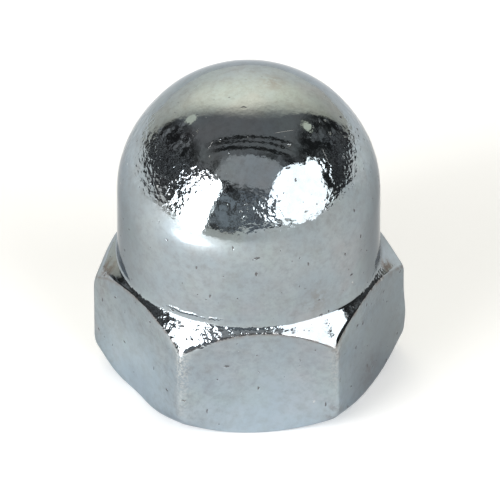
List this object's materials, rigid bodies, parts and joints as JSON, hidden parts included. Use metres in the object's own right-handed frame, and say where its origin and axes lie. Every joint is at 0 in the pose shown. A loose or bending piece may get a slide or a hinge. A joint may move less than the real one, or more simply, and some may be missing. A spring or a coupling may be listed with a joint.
{
  "type": "domed cap nut",
  "caption": "Zinc-plated steel hexagon nut closed at one end by a dome. It screws onto a bolt or stud and covers its end.",
  "frame": {"origin": "centre of the bearing face, on the thread's axis", "axes": "+Z runs from the bearing face up the thread's axis to the dome's crown. Two of the six flats face -Y and +Y, and two of the corners point along -X and +X."},
  "size_m": [0.0112, 0.0098, 0.012],
  "materials": {
    "zinc_plate": "gloss"
  },
  "bodies": {
    "root": {"cap_nut": "zinc_plate"}
  },
  "joints": []
}
